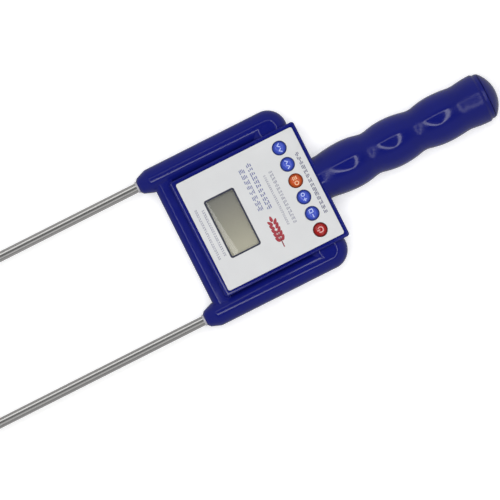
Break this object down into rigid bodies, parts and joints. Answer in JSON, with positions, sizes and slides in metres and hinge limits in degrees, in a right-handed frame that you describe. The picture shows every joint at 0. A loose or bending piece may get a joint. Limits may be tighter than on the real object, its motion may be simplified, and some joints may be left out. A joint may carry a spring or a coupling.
{
  "type": "grain moisture meter",
  "caption": "Hand-held dual-probe grain moisture meter: square display head between tubular rails, two long steel probe rods and a bulged battery handle with an end cap.",
  "frame": {"origin": "on the flat back of the head, under the middle of the label", "axes": "+Y towards the probe tips, +Z out of the display, +X the way the label reads; the meter lies on its back on z = 0"},
  "size_m": [0.122, 0.6539, 0.036],
  "materials": {
    "housing_abs": "glossy moulded ABS, deep blue",
    "label_film": "printed polyester film, satin",
    "lcd_frame_abs": "dark printed border, satin",
    "lens_acrylic": "clear acrylic, polished",
    "lcd_glass": "reflective liquid-crystal cell, grey-green",
    "connector_rubber": "moulded elastomer",
    "board_laminate": "glass-fibre board with green solder mask",
    "chip_epoxy": "moulded epoxy",
    "can_steel": "pressed steel can",
    "key_blue": "domed glossy key, blue",
    "key_orange": "domed glossy key, orange",
    "key_red": "domed glossy key, red",
    "switch_plunger_nylon": "moulded nylon",
    "switch_case": "moulded switch case",
    "rod_steel": "polished stainless steel",
    "bush_nylon": "turned nylon, pale",
    "contact_brass": "plated brass",
    "wire_red": "insulated stranded wire, red",
    "wire_black": "insulated stranded wire, black",
    "sleeve_plastic": "extruded tube",
    "cell_wrap": "plain printed sleeve",
    "spring_steel": "nickel-plated spring wire",
    "screw_steel": "zinc-plated steel"
  },
  "bodies": {
    "housing": {"front_shell": "housing_abs", "rear_shell": "housing_abs", "label_overlay": "label_film", "lcd_frame": "lcd_frame_abs", "lcd_lens": "lens_acrylic", "lcd_glass": "lcd_glass", "lcd_connector_front": "connector_rubber", "lcd_connector_rear": "connector_rubber", "main_board": "board_laminate", "microcontroller": "chip_epoxy", "clock_crystal": "can_steel", "key_switch_1": "switch_case", "key_switch_2": "switch_case", "key_switch_3": "switch_case", "key_switch_4": "switch_case", "key_switch_5": "switch_case", "key_switch_6": "switch_case", "probe_rod_right": "rod_steel", "probe_rod_left": "rod_steel", "rod_bush_right": "bush_nylon", "rod_bush_left": "bush_nylon", "rod_nut_right": "contact_brass", "rod_nut_left": "contact_brass", "rod_terminal_right": "contact_brass", "rod_terminal_left": "contact_brass", "battery_contact": "contact_brass", "return_strip": "contact_brass", "probe_lead_right": "wire_red", "battery_lead_positive": "wire_red", "probe_lead_left": "wire_black", "battery_lead_negative": "wire_black", "battery_sleeve": "sleeve_plastic", "battery_cell_front": "cell_wrap", "battery_cell_rear": "cell_wrap", "shell_screw_1": "screw_steel", "shell_screw_2": "screw_steel", "shell_screw_3": "screw_steel", "shell_screw_4": "screw_steel", "shell_screw_5": "screw_steel", "board_screw_1": "screw_steel", "board_screw_2": "screw_steel", "board_screw_3": "screw_steel", "board_screw_4": "screw_steel"},
    "key_1": {"key_cap_1": "key_blue", "switch_plunger_1": "switch_plunger_nylon"},
    "key_2": {"key_cap_2": "key_blue", "switch_plunger_2": "switch_plunger_nylon"},
    "key_3": {"key_cap_3": "key_orange", "switch_plunger_3": "switch_plunger_nylon"},
    "key_4": {"key_cap_4": "key_blue", "switch_plunger_4": "switch_plunger_nylon"},
    "key_5": {"key_cap_5": "key_blue", "switch_plunger_5": "switch_plunger_nylon"},
    "key_6": {"key_cap_6": "key_red", "switch_plunger_6": "switch_plunger_nylon"},
    "cap": {"end_cap": "housing_abs", "cap_seal": "connector_rubber", "cap_contact": "contact_brass", "battery_spring": "spring_steel"}
  },
  "joints": [
    {"name": "key_1_press", "type": "slide", "parent": "housing", "child": "key_1", "axis": [0, 0, -1], "range_m": [0, 0.0008], "stiffness_N_per_m": 1200, "springref_m": -0.0006},
    {"name": "key_2_press", "type": "slide", "parent": "housing", "child": "key_2", "axis": [0, 0, -1], "range_m": [0, 0.0008], "stiffness_N_per_m": 1200, "springref_m": -0.0006},
    {"name": "key_3_press", "type": "slide", "parent": "housing", "child": "key_3", "axis": [0, 0, -1], "range_m": [0, 0.0008], "stiffness_N_per_m": 1200, "springref_m": -0.0006},
    {"name": "key_4_press", "type": "slide", "parent": "housing", "child": "key_4", "axis": [0, 0, -1], "range_m": [0, 0.0008], "stiffness_N_per_m": 1200, "springref_m": -0.0006},
    {"name": "key_5_press", "type": "slide", "parent": "housing", "child": "key_5", "axis": [0, 0, -1], "range_m": [0, 0.0008], "stiffness_N_per_m": 1200, "springref_m": -0.0006},
    {"name": "key_6_press", "type": "slide", "parent": "housing", "child": "key_6", "axis": [0, 0, -1], "range_m": [0, 0.0008], "stiffness_N_per_m": 1200, "springref_m": -0.0006},
    {"name": "cap_pull", "type": "slide", "parent": "housing", "child": "cap", "axis": [0, -1, 0], "range_m": [0, 0.026]}
  ]
}
